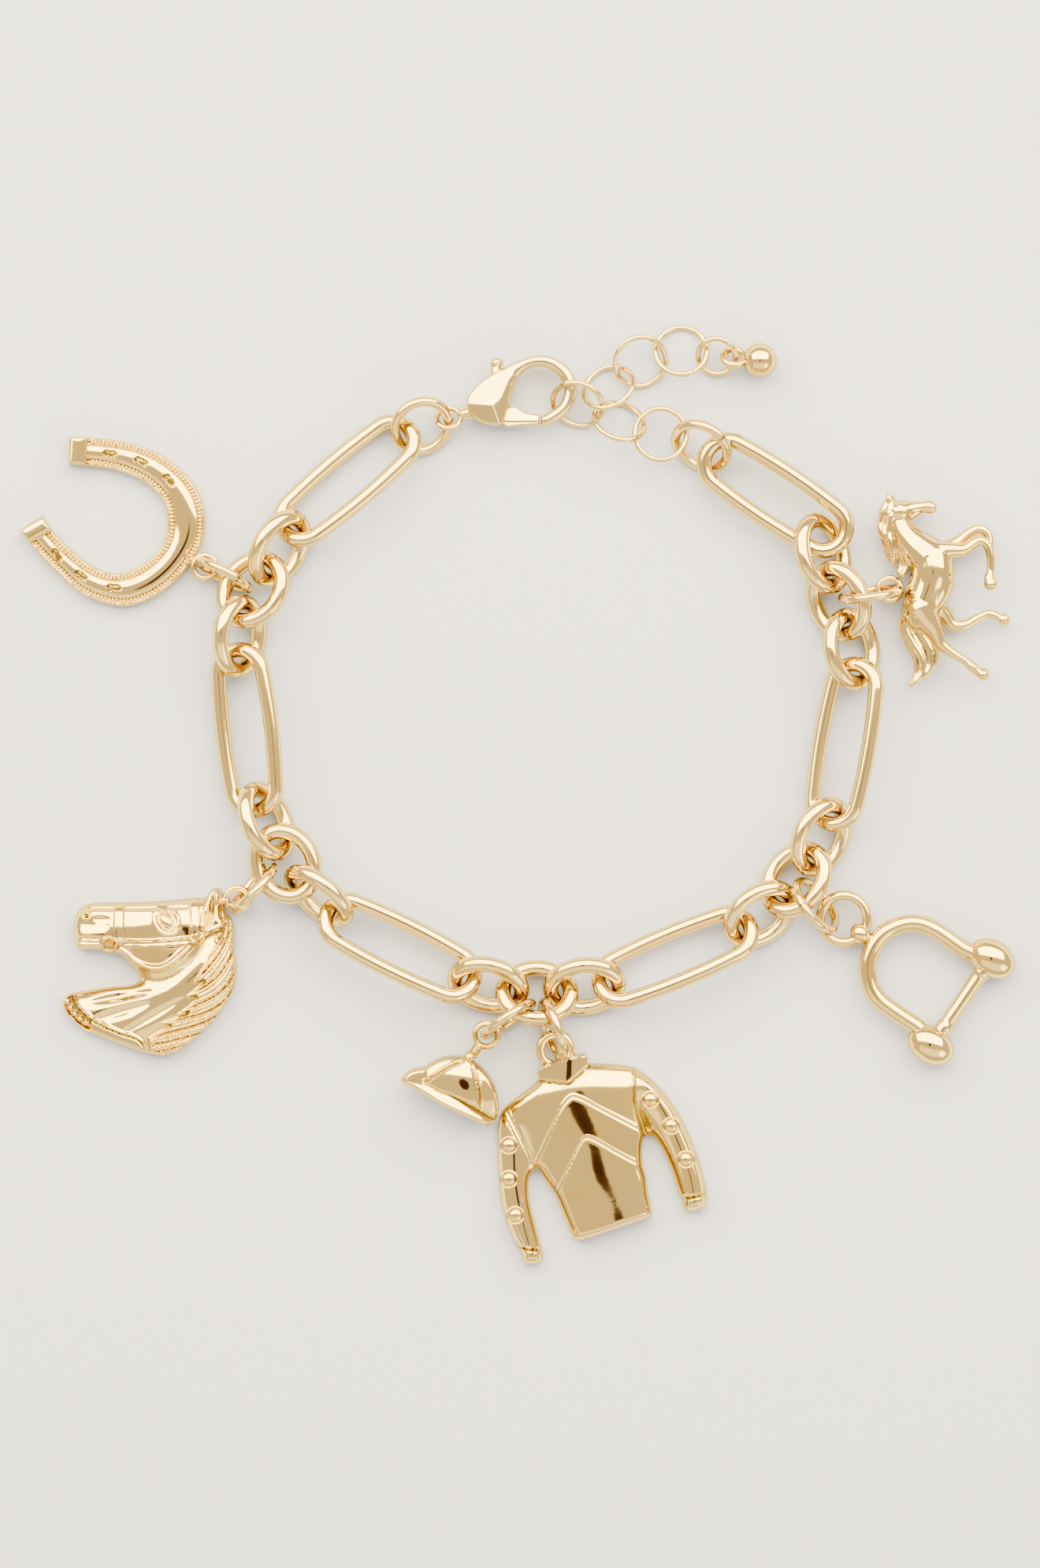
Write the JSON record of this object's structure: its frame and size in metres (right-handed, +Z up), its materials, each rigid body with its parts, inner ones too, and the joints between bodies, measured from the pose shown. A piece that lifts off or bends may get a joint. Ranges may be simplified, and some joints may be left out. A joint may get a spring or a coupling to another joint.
{
  "type": "charm bracelet",
  "caption": "Gold cable-chain bracelet lying closed in a loop, with horse-racing charms on jump rings, a sprung lobster clasp and an extender chain.",
  "frame": {"origin": "on the surface that the bracelet lies on, under the middle of its bounding box", "axes": "+X across the bracelet from the horse head to the shackle, +Y from the charms at the bottom to the clasp at the top, +Z up off the surface"},
  "size_m": [0.1012, 0.0956, 0.0066],
  "materials": {
    "chain_gold": "polished gold plate",
    "charm_gold": "polished gold plate over cast metal",
    "clasp_gold": "polished gold plate"
  },
  "bodies": {
    "bracelet": {"end_ring_clasp": "chain_gold", "long_link_1": "chain_gold", "oval_link_1": "chain_gold", "oval_link_2": "chain_gold", "oval_link_3": "chain_gold", "long_link_2": "chain_gold", "oval_link_4": "chain_gold", "oval_link_5": "chain_gold", "oval_link_6": "chain_gold", "long_link_3": "chain_gold", "oval_link_7": "chain_gold", "oval_link_8": "chain_gold", "oval_link_9": "chain_gold", "long_link_4": "chain_gold", "oval_link_10": "chain_gold", "oval_link_11": "chain_gold", "oval_link_12": "chain_gold", "long_link_5": "chain_gold", "oval_link_13": "chain_gold", "oval_link_14": "chain_gold", "oval_link_15": "chain_gold", "long_link_6": "chain_gold", "end_ring_extender": "chain_gold", "extender_ring_1": "chain_gold", "extender_ring_2": "chain_gold", "extender_ring_3": "chain_gold", "extender_ring_4": "chain_gold", "extender_ring_5": "chain_gold", "extender_ring_6": "chain_gold", "extender_ring_7": "chain_gold", "horseshoe_ring": "chain_gold", "horse_head_ring": "chain_gold", "cap_ring": "chain_gold", "jersey_ring": "chain_gold", "shackle_ring": "chain_gold", "running_horse_ring": "chain_gold", "horseshoe": "charm_gold", "horse_head": "charm_gold", "jockey_cap": "charm_gold", "racing_jersey": "charm_gold", "shackle": "charm_gold", "running_horse": "charm_gold", "clasp_body": "clasp_gold", "end_ball": "charm_gold"},
    "lever": {"clasp_lever": "clasp_gold"}
  },
  "joints": [
    {"name": "clasp_lever_hinge", "type": "hinge", "parent": "bracelet", "child": "lever", "pos_m": [-0.00206, 0.03977, 0.0019], "axis": [0, 0, 1], "range_deg": [0, 18], "stiffness_Nm_per_rad": 0.0005}
  ]
}
